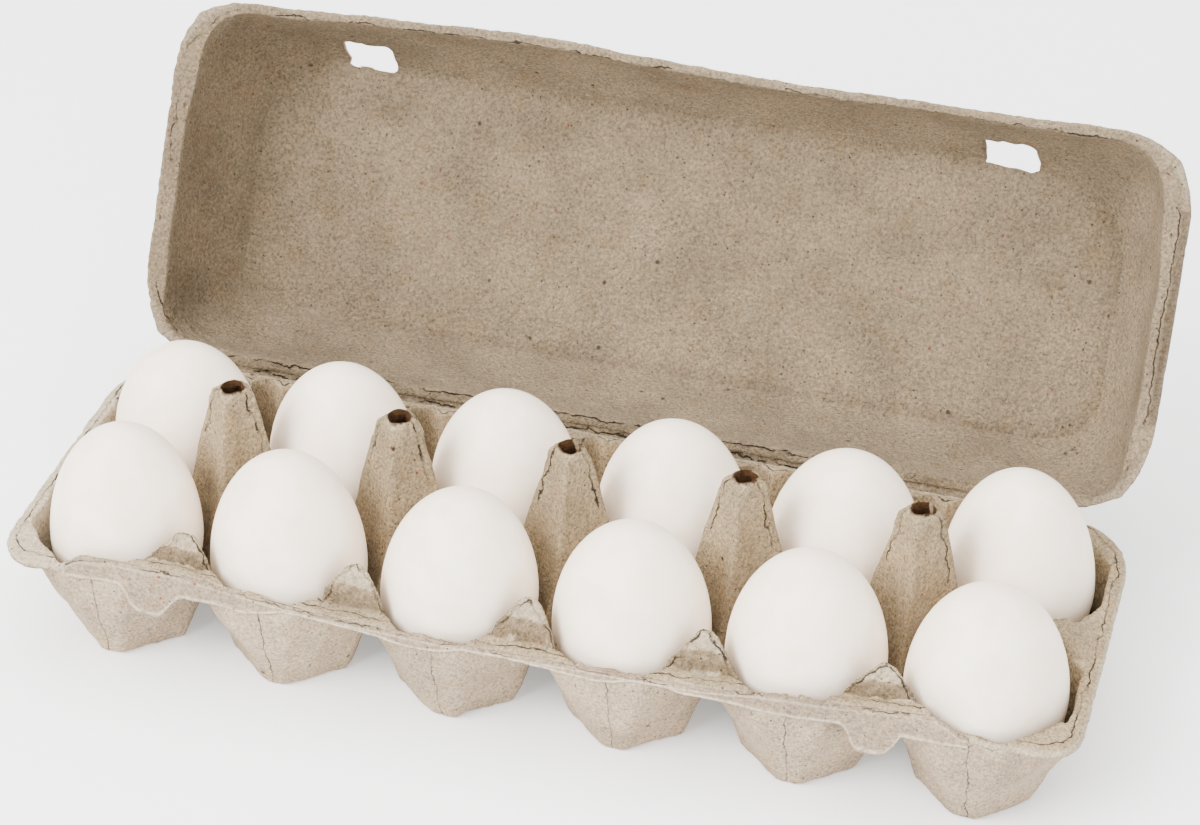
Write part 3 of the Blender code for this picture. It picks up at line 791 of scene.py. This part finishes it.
SLOT_RAGGED_Y = 4.0 * MM
LID_WAVES = ((11.0 * MM, 0.40 * MM), (3.0 * MM, 0.14 * MM))
# A darker copy of the tray's pulp: painted shade for the lid's less lit inside.
LID_PULP_SHADED_HEX = "84745D"
LID_STEP = 1.9 * MM
LID_STRAIGHT_X = 117.0 * MM
LID_LINES_Y = (80.0 * MM, 30.5 * MM)
LID_TORN = 0.6
LID_LONG_EDGE = 2.6 * MM
LID_FINE_EDGE = 1.2 * MM
LID_STEEP = 4.5 * MM
LID_STEEP_EDGE = 0.75 * MM
LID_TORN_WIDTH = 6.0 * MM


def belly(x):
    """How far the lid's far edge stands out past a straight line, bent and rippled."""
    off = np.minimum(np.abs(x - LID_BELLY_X) / LID_BELLY_HALF, 1.0)
    ripple = LID_RIPPLE * wander(x, 0.0 * x, LID_RIPPLE_SIZE)
    return LID_BELLY * np.cos(off * math.pi / 2) ** 2 + LID_SLANT * np.maximum(x, 0.0) + ripple


def lid_far(x, y):
    """Distance from the hinge to a point, as it was before the belly moved it."""
    depth = LID_FRONT - PANEL_FRONT
    past = np.maximum(-y - PANEL_FRONT, 0.0)
    return -(y + past - past * depth / (depth + belly(x)))


def lid_from_edge(x, y):
    """How far a point of the lid stands inside its rim's outline."""
    middle = (LID_BACK + LID_FRONT) / 2
    beyond = lid_far(x, y) - middle
    corner = np.where(beyond > 0, LID_CORNER_FRONT, LID_CORNER_BACK)
    return from_outline(x, beyond, LID_X, (LID_FRONT - LID_BACK) / 2, corner, corner)


def lid_wall(x, y):
    """Share of the way up the wall, 0 at the mouth and 1 at the panel's crease, and
    how far inside that crease a point of the panel lies."""
    far = lid_far(x, y)
    in_front = far > (PANEL_FRONT + PANEL_BACK) / 2
    corner = np.where(in_front, PANEL_CORNER_FRONT, PANEL_CORNER_BACK)
    side_x = np.maximum(np.abs(x) - (PANEL_X - corner), 0.0)
    side_y = np.maximum(np.where(in_front, far - PANEL_FRONT, PANEL_BACK - far) + corner, 0.0)
    run_y = np.where(in_front, MOUTH_FRONT - PANEL_FRONT, PANEL_BACK - MOUTH_BACK)
    reach = np.hypot(side_x, side_y)
    share = (side_x / np.maximum(reach, 1e-9)) ** 2
    diagonal = (4.0 * share * (1.0 - share)) ** 2
    extra = np.where(in_front, MOUTH_EXTRA_FRONT, MOUTH_EXTRA_BACK)
    run = (MOUTH_X - PANEL_X) * share + run_y * (1.0 - share) + extra * diagonal
    return np.clip((corner + run - reach) / run, 0.0, 1.0), corner - reach


def lid_surface(x, y):
    """Inner skin of the closed lid over its rim plane; y runs to the front as minus."""
    far = lid_far(x, y)
    step, _ = lid_wall(x, y)
    knots = np.broadcast_to(WALL_STEP, (len(step), len(WALL_STEP)))
    to_edge = lid_from_edge(x, y)
    bead = LID_BEAD * np.sin(np.clip(to_edge / LID_BEAD_WIDTH, 0.0, 1.0) * math.pi)
    curled = np.clip(1.0 - np.abs(far - LID_CURL_FAR) / LID_CURL_HALF, 0.0, 1.0)
    curled = np.where(x > 0, np.sqrt(curled), 0.0)
    curl = LID_CURL * curled * np.clip(1.0 - to_edge / LID_CURL_WIDTH, 0.0, 1.0)
    return smooth_steps(step, knots, WALL_RISE * LID_DEPTH) - bead + curl


def over_skin(x, y):
    """The lid's outer skin."""
    return -under_skin(lambda a, b: -lid_surface(a, b), x, y, PULP_THICK)


def lid_bend(x, y):
    """Bend the grid to the lid's rounded corners and its far edge's belly."""
    middle = (LID_BACK + LID_FRONT) / 2
    half = (LID_FRONT - LID_BACK) / 2
    from_middle = y + middle
    front, back = (
        round_corner(x, from_middle, LID_X, half, corner, corner, LID_SQUARE)
        for corner in (LID_CORNER_FRONT, LID_CORNER_BACK)
    )
    x = np.where(from_middle < 0, front[0], back[0])
    y = np.where(from_middle < 0, front[1], back[1]) - middle
    past = np.clip((-y - PANEL_FRONT) / (LID_FRONT - PANEL_FRONT), 0.0, 1.0)
    return x, y - belly(x) * past


def lid_needs(x, y):
    """Longest edge that the lid's sheet may have: short at its rim and the panel's
    crease, and shorter still where one of its skins stands steep."""
    _, inside = lid_wall(x, y)
    fine = (lid_from_edge(x, y) < LID_TORN_WIDTH) | (np.abs(inside) < LID_FINE_EDGE)
    steep = over_skin(x, y) - lid_surface(x, y) > LID_STEEP
    return np.where(steep, LID_STEEP_EDGE, np.where(fine, LID_FINE_EDGE, LID_LONG_EDGE))


stops_x = [-LID_X, -MOUTH_X, -PANEL_X, -LID_STRAIGHT_X, LID_STRAIGHT_X, PANEL_X, MOUTH_X, LID_X]
stops_y = [-s for s in (LID_FRONT, MOUTH_FRONT, PANEL_FRONT, *LID_LINES_Y, PANEL_BACK, MOUTH_BACK, LID_BACK)]
lid_bm = raised_grid(
    fine_lines(stops_x, LID_STEP), fine_lines(stops_y, LID_STEP), lid_bend, lid_surface, lid_needs
)


def slot_share(spot):
    """Below 1 inside a latch slot, whose torn outline wanders."""
    middle = SLOT_LEFT_X if spot.x < 0 else SLOT_RIGHT_X
    other = Vector((7.0, 0.0, 0.0))
    off_x = spot.x - middle + SLOT_RAGGED * noise.noise(spot / SLOT_RAGGED_X)
    off_y = -spot.y - SLOT_FAR + SLOT_RAGGED * noise.noise(spot / SLOT_RAGGED_Y + other)
    return max(abs(off_x) / SLOT_HALF_WIDE, abs(off_y) / SLOT_HALF_DEEP)


def snap_to_slot(spot):
    """Move a vertex at a latch slot on to its torn outline."""
    share = slot_share(spot)
    if share > 2.0:
        return spot
    middle = Vector((SLOT_LEFT_X if spot.x < 0 else SLOT_RIGHT_X, -SLOT_FAR, spot.z))
    moved = middle + (spot - middle) / share
    moved.z = float(lid_surface(np.array([moved.x]), np.array([moved.y]))[0])
    return moved


tear_hole(lid_bm, lambda spot: slot_share(spot) < 1.0, snap_to_slot)
inner_count = thicken(lid_bm, over_skin)
spots = coordinates(lid_bm)
lid_turn = Matrix.Translation((0.0, HINGE_Y + TRAY_MIDDLE_Y, HINGE_Z + FOOT_DROP))
lid_turn = lid_turn @ Matrix.Rotation(-LID_OPEN, 4, "X")
bmesh.ops.transform(lid_bm, matrix=lid_turn, verts=list(lid_bm.verts))
lid_pulp = moulded_pulp("moulded_pulp_lid", LID_PULP_SHADED_HEX, PULP_OUTSIDE_HEX)
lid = add_piece("pulp_lid", lid_bm, lid_pulp)
to_edge = lid_from_edge(spots[:, 0], spots[:, 1]) / MM
on_inner = np.arange(len(spots)) < inner_count
roughen(lid.data, LID_WAVES, LID_TORN * np.clip((LID_TORN_WIDTH / MM - to_edge) / 2.0, 0.0, 1.0), TORN_WAVE)
_, inside_crease = lid_wall(spots[:, 0], spots[:, 1])
band = np.clip(1.0 - inside_crease / MM / PANEL_DARK_BAND, 0.0, 1.0) * (inside_crease > 0.0)

# The lid's marks: its right rim is bent back along a crack, its sliver darker by painted
# shade; a crack runs round the rest of the rim, and painted shade darkens the left end
# and a band inside the panel's crease. Places and sizes of marks are in millimetres.
LID_CRACK_IN = 2.4
LID_CURL_CRACK_IN = 3.0
LID_CURL_CRACK_WHOLE = 1.7
LID_FLAT_RIM = 0.6
LID_BENT_REACH = 2.6
LID_BENT_SHADE = 0.45
LID_SHADE_X = -30.0
LID_SHADE_RUN = 90.0
LID_END_SHADE = 0.24
PANEL_SHADE = 0.25
curled = (spots[:, 0] > 0) & (np.abs(lid_far(spots[:, 0], spots[:, 1]) - LID_CURL_FAR) < LID_CURL_HALF)
crack_amount = on_inner * np.clip(1.0 - (to_edge - 5.0) / 2.0, 0.0, 1.0)
# painted shade: the bent-back sliver, the left end and a band inside the panel's crease
bent_back = LID_BENT_SHADE * curled * (to_edge < LID_BENT_REACH)
shaded_end = LID_END_SHADE * np.clip((LID_SHADE_X - spots[:, 0] / MM) / LID_SHADE_RUN, 0.0, 1.0)
keep_values(lid.data, "painted_shade", on_inner * np.maximum(np.maximum(PANEL_SHADE * band, bent_back), shaded_end))
up_wall = np.maximum(spots[:, 2] / MM - LID_FLAT_RIM, 0.0)
crack_in = np.where(curled, LID_CURL_CRACK_IN, LID_CRACK_IN)
keep_values(lid.data, "crack_at", to_edge - crack_in + up_wall)
keep_values(lid.data, "crack_amount", np.where(curled, LID_CURL_CRACK_WHOLE * crack_amount, crack_amount))
keep_values(lid.data, "worn_and_highlight", on_inner * 0.15 * np.clip(1.0 - to_edge / 0.7, 0.0, 1.0))
keep_values(lid.data, "outside", ~on_inner)
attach(lid, "lid")
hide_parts("lid")

# The hinge: the same sheet of pulp, pressed thin and creased between the tray's
# back rim and the lid, where it bends each time the carton is opened.
HINGE_HALF_LONG = 124.0 * MM
HINGE_THICK = 1.0 * MM
HINGE_START_Y = 52.2 * MM
HINGE_START_Z = 1.0 * MM
HINGE_SAG = 0.7 * MM
HINGE_STEPS_LONG = 160
HINGE_STEPS_WIDE = 6
HINGE_END_IN = 2.6 * MM
HINGE_END_UP = 0.6 * MM
lid_lip = lid_turn @ Vector((0.0, -HINGE_END_IN, HINGE_END_UP))
hinge_bm = bmesh.new()
bmesh.ops.create_grid(hinge_bm, x_segments=HINGE_STEPS_LONG, y_segments=HINGE_STEPS_WIDE, size=1.0)
start = Vector((0.0, HINGE_START_Y + TRAY_MIDDLE_Y, HINGE_START_Z + FOOT_DROP))
for vert in hinge_bm.verts:
    share = (vert.co.y + 1.0) / 2.0
    spot = start.lerp(lid_lip, share)
    spot.x = vert.co.x * HINGE_HALF_LONG
    spot.z -= HINGE_SAG * math.sin(share * math.pi)
    vert.co = spot
bmesh.ops.solidify(hinge_bm, geom=list(hinge_bm.faces), thickness=HINGE_THICK)
bmesh.ops.recalc_face_normals(hinge_bm, faces=list(hinge_bm.faces))
hinge = add_piece("pulp_hinge", hinge_bm, lid_pulp)
hinge_middle_y = (start.y + lid_lip.y) / 2
# A dark line down the hinge's middle: its crack, with painted shade in the crease.
keep_values(hinge.data, "crack_at", [(v.co.y - hinge_middle_y) / MM for v in hinge.data.vertices])
keep_values(hinge.data, "crack_amount", [1.0] * len(hinge.data.vertices))
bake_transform(hinge)

# The locking flap: the front rim's edge, folded over and hanging outside the
# cups, with two tabs that catch in the lid's slots. Its lower edge is uneven.
FOLD_Y = 49.7 * MM
FLAP_THICK = 1.0 * MM
FLAP_LEFT = -128.5 * MM
FLAP_RIGHT = 121.0 * MM
FLAP_STEPS = 300
FLAP_ROLL = 0.8 * MM
FLAP_ROLL_ROWS = 6
FLAP_DROP_ROWS = 12
FLAP_LAP = 0.8 * MM
FLAP_LAP_DROP = 0.3 * MM
FLAP_LEAST_DROP = 0.4 * MM
FLAP_UNDER_LIP = 0.5 * MM
# Place along the tray and height of the flap's lower edge, in millimetres.
FLAP_EDGE = np.array((
    (-129.1, -1.5), (-123.8, -1.4), (-117.9, -0.9), (-112.9, -1.0), (-111.2, -3.3), (-109.6, -7.3),
    (-107.9, -8.8), (-103.9, -9.2), (-101.4, -9.1), (-97.8, -4.3), (-95.3, -1.7), (-89.9, -1.6),
    (-83.5, -1.9), (-77.6, -2.9), (-71.8, -2.0), (-66.0, -0.3), (-60.4, -0.4), (-49.1, -1.3),
    (-40.6, -2.0), (-32.2, -3.7), (-26.6, -3.8), (-21.0, -3.2), (-15.4, -1.6), (-4.3, -1.4),
    (6.7, -2.1), (14.9, -2.9), (20.4, -3.3), (25.9, -2.7), (31.3, -1.1), (39.4, -0.8), (44.9, -1.9),
    (57.3, -1.9), (66.4, -2.8), (77.1, -2.6), (87.5, -1.7), (89.1, -3.0), (90.6, -6.7), (92.1, -9.0),
    (96.1, -9.4), (99.2, -9.0), (101.4, -6.1), (103.7, -2.0), (114.1, -2.3), (121.3, -1.9),
)) * MM
FLAP_RAGGED = 0.25 * MM
FLAP_RAGGED_SIZE = 2.5 * MM
FLAP_WAVES = ((4.0 * MM, 0.12 * MM),)
FLAP_SHADE = 0.22
FLAP_LOW_EDGE_HIGHLIGHT = 0.55
FLAP_FOLD_HIGHLIGHT = 0.4

flap_bm = bmesh.new()
rows = 1 + FLAP_ROLL_ROWS + FLAP_DROP_ROWS
bmesh.ops.create_grid(flap_bm, x_segments=FLAP_STEPS, y_segments=rows, size=1.0)
for vert in flap_bm.verts:
    x = FLAP_LEFT + (FLAP_RIGHT - FLAP_LEFT) * (vert.co.x + 1.0) / 2.0
    row = round((1.0 - vert.co.y) / 2.0 * rows)
    top = float(np.interp(x, FRONT_EDGE[:, 0], FRONT_EDGE[:, 1])) - FLAP_UNDER_LIP
    low = float(np.interp(x, FLAP_EDGE[:, 0], FLAP_EDGE[:, 1]))
    low += FLAP_RAGGED * noise.noise(Vector((x / FLAP_RAGGED_SIZE, 0.0, 0.0)))
    middle_y, middle_z = -FOLD_Y + FLAP_ROLL, top - FLAP_ROLL
    low = min(low, middle_z - FLAP_LEAST_DROP)
    if row == 0:
        y, z = middle_y + FLAP_LAP, top - FLAP_LAP_DROP
    elif row <= FLAP_ROLL_ROWS:
        angle = math.pi / 2 * (row - 1) / (FLAP_ROLL_ROWS - 1)
        y, z = middle_y - FLAP_ROLL * math.sin(angle), middle_z + FLAP_ROLL * math.cos(angle)
    else:
        share = (row - FLAP_ROLL_ROWS) / FLAP_DROP_ROWS
        y, z = middle_y - FLAP_ROLL, middle_z + (low - middle_z) * share
    vert.co = Vector((x, y + TRAY_MIDDLE_Y, z + FOOT_DROP))
bmesh.ops.recalc_face_normals(flap_bm, faces=list(flap_bm.faces))
if sum(f.normal.y for f in flap_bm.faces) > 0:
    bmesh.ops.reverse_faces(flap_bm, faces=list(flap_bm.faces))
bmesh.ops.solidify(flap_bm, geom=list(flap_bm.faces), thickness=FLAP_THICK)
bmesh.ops.recalc_face_normals(flap_bm, faces=list(flap_bm.faces))
flap = add_piece("pulp_locking_flap", flap_bm, tray_pulp)
roughen(flap.data, FLAP_WAVES)
flap_points = np.array([v.co for v in flap.data.vertices])
flap_x, flap_z = flap_points[:, 0], flap_points[:, 2] - FOOT_DROP
under_top = (np.interp(flap_x, FRONT_EDGE[:, 0], FRONT_EDGE[:, 1]) - flap_z) / MM
over_low = (flap_z - np.interp(flap_x, FLAP_EDGE[:, 0], FLAP_EDGE[:, 1])) / MM
keep_values(flap.data, "crack_at", 1.6 * (under_top - 0.7))
keep_values(flap.data, "crack_amount", np.full(len(flap_x), 1.2))
keep_values(flap.data, "outside", np.ones(len(flap_x)))
# Painted shade darkens the whole flap evenly.
keep_values(flap.data, "painted_shade", np.full(len(flap_x), FLAP_SHADE))
# Painted highlights: a pale line along the lower edge and along the ridge of the fold.
low_edge = FLAP_LOW_EDGE_HIGHLIGHT * np.clip(1.0 - np.abs(over_low - 0.2) / 0.7, 0.0, 1.0)
layer_edge = FLAP_FOLD_HIGHLIGHT * np.clip(1.0 - np.abs(under_top - 1.5) / 0.4, 0.0, 1.0)
keep_values(flap.data, "worn_and_highlight", np.maximum(low_edge, layer_edge))
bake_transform(flap)
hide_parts("flap")

# The eggs: white hens' eggs standing on their blunt ends, each a little
# different in size and lean. The shell is matt chalk with fine pores.
EGG_WIDEST = -2.2 * MM
EGG_BLUNT = 25.2 * MM
EGG_STEPS_ROUND = 64
EGG_STEPS_HIGH = 40
SHELL_WARM_HEX = "EED9BF"
SHELL_HEX = "FFF5E8"
# Each egg's half width and height over its widest line, and how far it stands to the
# right and to the back of its cup's middle, in millimetres. Then its lean to the right
# and to the back, in degrees.
EGGS_FRONT = (
    (21.1, 33.6, 0.8, -0.7, -0.9, 1.4), (21.5, 33.8, -0.1, -0.4, -2.2, 0.8),
    (21.5, 32.0, 0.5, -0.5, 1.9, 1.0), (21.5, 31.4, 0.5, -0.5, -1.9, -0.1),
    (21.7, 32.0, -0.1, 0.2, -0.7, 0.2), (21.8, 31.8, -0.1, -0.1, -1.1, 0.3),
)
EGGS_BACK = (
    (21.0, 29.8, 0.2, -0.6, -2.3, -2.0), (21.4, 31.6, -0.8, -0.8, -3.0, 0.0),
    (21.5, 31.7, -1.0, -0.4, -2.9, 0.6), (21.6, 31.1, -1.0, -0.1, -2.4, 0.3),
    (21.7, 31.4, -0.8, 0.0, 0.4, -0.9), (21.2, 34.4, -0.6, 0.5, -3.4, 2.0),
)


def eggshell(name):
    """White eggshell: matt chalky lime, with a faint warm mottle 7.7 mm across and
    pores of 0.7 mm, so the light on it is soft and never mirrors."""
    made = bpy.data.materials.new(name)
    made.use_nodes = True
    tree = made.node_tree
    shader = tree.nodes["Principled BSDF"]
    place = add_node(tree, "ShaderNodeTexCoord")
    mottle = add_node(
        tree, "ShaderNodeTexNoise", [("Vector", place, "Object")], Scale=1 / (7.69 * MM), Detail=3.0
    )
    colour = add_node(
        tree, "ShaderNodeMix", [("Factor", mottle, "Fac")],
        data_type="RGBA", i6=linear(SHELL_WARM_HEX), i7=linear(SHELL_HEX),
    )
    tree.links.new(colour.outputs[2], shader.inputs["Base Color"])
    shader.inputs["Roughness"].default_value = 0.55
    shader.inputs["Specular IOR Level"].default_value = 0.35
    pores = add_node(
        tree, "ShaderNodeTexNoise", [("Vector", place, "Object")], Scale=1 / (0.6667 * MM), Detail=2.0
    )
    bump = add_node(
        tree, "ShaderNodeBump", [("Height", pores, "Fac")], Strength=0.2, Distance=0.3 * MM
    )
    tree.links.new(bump.outputs["Normal"], shader.inputs["Normal"])
    return made


shell = eggshell("white_eggshell")
for row, row_y, eggs in (("front", -ROW_OFF, EGGS_FRONT), ("back", ROW_OFF, EGGS_BACK)):
    for column, (half_width, upper, off_x, off_y, lean_right, lean_back) in enumerate(eggs):
        egg_bm = bmesh.new()
        bmesh.ops.create_uvsphere(egg_bm, u_segments=EGG_STEPS_ROUND, v_segments=EGG_STEPS_HIGH, radius=1.0)
        for vert in egg_bm.verts:
            length = upper * MM if vert.co.z > 0 else EGG_BLUNT
            vert.co = Vector((vert.co.x * half_width * MM, vert.co.y * half_width * MM, vert.co.z * length))
        place = Matrix.Translation((
            (column - (TRAY_X_CELLS - 1) / 2) * CELL + off_x * MM,
            row_y + off_y * MM + TRAY_MIDDLE_Y,
            EGG_WIDEST + FOOT_DROP,
        ))
        turn = Matrix.Rotation(math.radians(lean_right), 4, "Y")
        turn = turn @ Matrix.Rotation(-math.radians(lean_back), 4, "X")
        bmesh.ops.transform(egg_bm, matrix=place @ turn, verts=list(egg_bm.verts))
        egg = add_piece(f"eggshell_{row}_{column + 1}", egg_bm, shell)
        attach(egg, "tray")
        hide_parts(f"egg_{row}_{column + 1}")

# The studio: a plain pale floor, large soft lamps all round and above, and the
# camera that was fitted to the photograph.
FLOOR_HALF = 6.0
LAMP_AIM = Vector((0.0, 0.0, 0.04))
floor_bm = bmesh.new()
bmesh.ops.create_grid(floor_bm, x_segments=1, y_segments=1, size=FLOOR_HALF)
floor_paint = bpy.data.materials.new("white_paper_sweep")
floor_paint.use_nodes = True
floor_shader = floor_paint.node_tree.nodes["Principled BSDF"]
floor_shader.inputs["Base Color"].default_value = (0.95, 0.95, 0.95, 1.0)
floor_shader.inputs["Roughness"].default_value = 0.9
floor_shader.inputs["Emission Color"].default_value = (1.0, 1.0, 1.0, 1.0)
floor_shader.inputs["Emission Strength"].default_value = 0.35
floor = add_piece("floor", floor_bm, floor_paint)

# name, place and side in metres, power in watts
for name, spot, size, power in (
    ("lamp_key", (-0.9, -1.2, 1.25), 1.1, 88.0),
    ("lamp_fill", (1.1, -1.3, 0.8), 1.4, 20.0),
    ("lamp_top", (0.0, 0.1, 1.8), 1.8, 60.0),
):
    data = bpy.data.lights.new(name, "AREA")
    data.shape = "SQUARE"
    data.size = size
    data.energy = power
    lamp = bpy.data.objects.new(name, data)
    bpy.context.scene.collection.objects.link(lamp)
    lamp.location = spot
    aim = LAMP_AIM - Vector(spot)
    lamp.rotation_euler = aim.to_track_quat("-Z", "Y").to_euler()

world = bpy.data.worlds.new("studio")
world.use_nodes = True
world.node_tree.nodes["Background"].inputs["Color"].default_value = (1.0, 1.0, 1.0, 1.0)
world.node_tree.nodes["Background"].inputs["Strength"].default_value = 1.5
bpy.context.scene.world = world

camera_data = bpy.data.cameras.new("camera")
camera_data.lens = 104.2
camera_data.sensor_width = 36.0
camera_data.clip_start = 0.01
camera = bpy.data.objects.new("camera", camera_data)
bpy.context.scene.collection.objects.link(camera)
right, down, ahead = (
    Vector((0.96214, 0.27207, 0.01655)),
    Vector((0.16723, -0.54129, -0.82404)),
    Vector((-0.21523, 0.79560, -0.56630)),
)
turn = Matrix((right, -down, -ahead)).transposed()
camera.matrix_world = Matrix.Translation((0.20786, -0.77940, 0.60771)) @ turn.to_4x4()
bpy.context.scene.camera = camera
